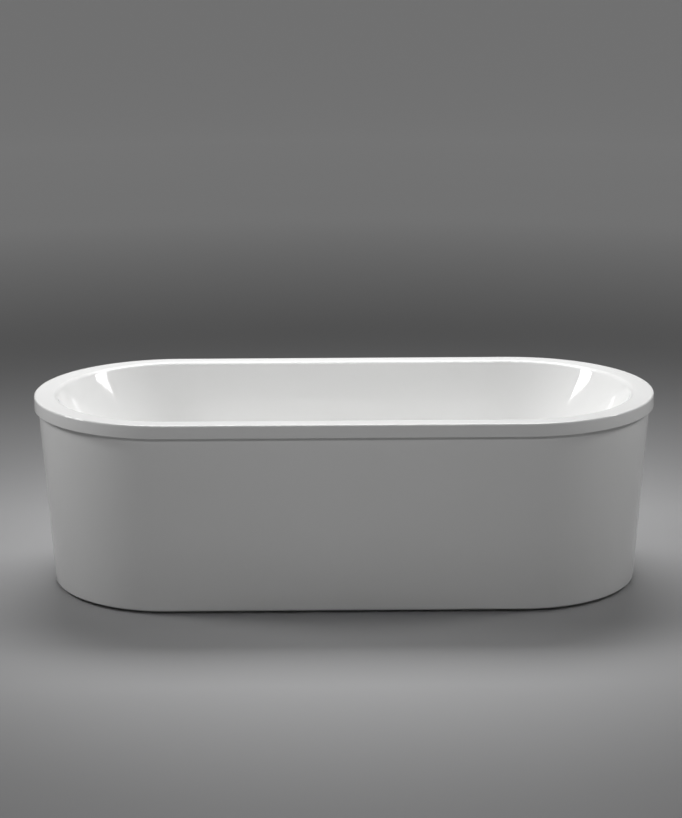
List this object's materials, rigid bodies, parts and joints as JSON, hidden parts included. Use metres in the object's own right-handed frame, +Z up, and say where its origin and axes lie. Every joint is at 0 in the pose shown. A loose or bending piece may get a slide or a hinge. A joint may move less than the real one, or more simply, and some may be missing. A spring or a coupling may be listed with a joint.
{
  "type": "freestanding bathtub",
  "caption": "Freestanding double-ended acrylic bath with a flat rim and tapered skirt on a screw-footed steel frame, with a knob-worked pop-up waste and a trap.",
  "frame": {"origin": "on the floor, under the middle of the bath", "axes": "+X along the bath, +Y across it away from the overflow side, +Z up"},
  "size_m": [1.8, 0.8, 0.565],
  "materials": {
    "white_acrylic": "gloss",
    "bright_chrome": "polished",
    "zinc_steel": "zinc plated",
    "black_plastic": "satin",
    "grey_plastic": "satin",
    "black_rubber": "matte",
    "resin_board": "resin-coated chipboard",
    "grey_foam": "closed-cell foam"
  },
  "bodies": {
    "bath": {"base_board": "resin_board", "bath_shell": "white_acrylic", "control_cable": "black_plastic", "foot_lock_nut_left_front": "zinc_steel", "foot_lock_nut_left_rear": "zinc_steel", "foot_lock_nut_right_front": "zinc_steel", "foot_lock_nut_right_rear": "zinc_steel", "frame_batten_left": "zinc_steel", "frame_batten_right": "zinc_steel", "frame_end_member_left": "zinc_steel", "frame_end_member_right": "zinc_steel", "frame_rail_front": "zinc_steel", "frame_rail_rear": "zinc_steel", "hose_nut_lower": "black_plastic", "hose_nut_upper": "black_plastic", "lever_axle": "zinc_steel", "outlet_nut": "black_plastic", "outlet_pipe": "grey_plastic", "overflow_body": "black_plastic", "overflow_faceplate": "bright_chrome", "overflow_hose": "grey_plastic", "overflow_seal": "black_rubber", "rim_seal": "grey_foam", "skirt_bracket_left_front": "zinc_steel", "skirt_bracket_left_rear": "zinc_steel", "skirt_bracket_right_front": "zinc_steel", "skirt_bracket_right_rear": "zinc_steel", "skirt_panel": "white_acrylic", "skirt_screw_left_front": "zinc_steel", "skirt_screw_left_rear": "zinc_steel", "skirt_screw_right_front": "zinc_steel", "skirt_screw_right_rear": "zinc_steel", "trap_body": "grey_plastic", "trap_cleanout_cap": "black_plastic", "trap_slip_nut": "black_plastic", "waste_body": "black_plastic", "waste_flange": "bright_chrome", "waste_lower_seal": "black_rubber", "waste_upper_seal": "black_rubber"},
    "knob": {"overflow_knob": "bright_chrome", "overflow_spindle": "zinc_steel", "cable_crank": "grey_plastic"},
    "plug": {"waste_plug": "bright_chrome", "plug_seal": "black_rubber"},
    "lever": {"lift_lever": "grey_plastic"},
    "foot_left_front": {"foot_pad_left_front": "black_plastic", "foot_stud_left_front": "zinc_steel"},
    "foot_left_rear": {"foot_pad_left_rear": "black_plastic", "foot_stud_left_rear": "zinc_steel"},
    "foot_right_front": {"foot_pad_right_front": "black_plastic", "foot_stud_right_front": "zinc_steel"},
    "foot_right_rear": {"foot_pad_right_rear": "black_plastic", "foot_stud_right_rear": "zinc_steel"}
  },
  "joints": [
    {"name": "overflow_knob_turn", "type": "hinge", "parent": "bath", "child": "knob", "pos_m": [0, -0.32965, 0.48], "axis": [0, 0.9781, 0.2079], "range_deg": [0, 90]},
    {"name": "waste_plug_lift", "type": "slide", "parent": "bath", "child": "plug", "axis": [0, 0, 1], "range_m": [0, 0.01]},
    {"name": "lift_lever_swing", "type": "hinge", "parent": "bath", "child": "lever", "pos_m": [0.02, 0, 0.1091], "axis": [0, 1, 0], "range_deg": [0, 28.95]},
    {"name": "foot_left_front_level", "type": "slide", "parent": "bath", "child": "foot_left_front", "axis": [0, 0, 1], "range_m": [-0.02, 0]},
    {"name": "foot_left_rear_level", "type": "slide", "parent": "bath", "child": "foot_left_rear", "axis": [0, 0, 1], "range_m": [-0.02, 0]},
    {"name": "foot_right_front_level", "type": "slide", "parent": "bath", "child": "foot_right_front", "axis": [0, 0, 1], "range_m": [-0.02, 0]},
    {"name": "foot_right_rear_level", "type": "slide", "parent": "bath", "child": "foot_right_rear", "axis": [0, 0, 1], "range_m": [-0.02, 0]}
  ],
  "couplings": [
    {"joint": "waste_plug_lift", "follows": "overflow_knob_turn", "m_per_rad": 0.0063662},
    {"joint": "lift_lever_swing", "follows": "overflow_knob_turn", "ratio": 0.32172}
  ]
}
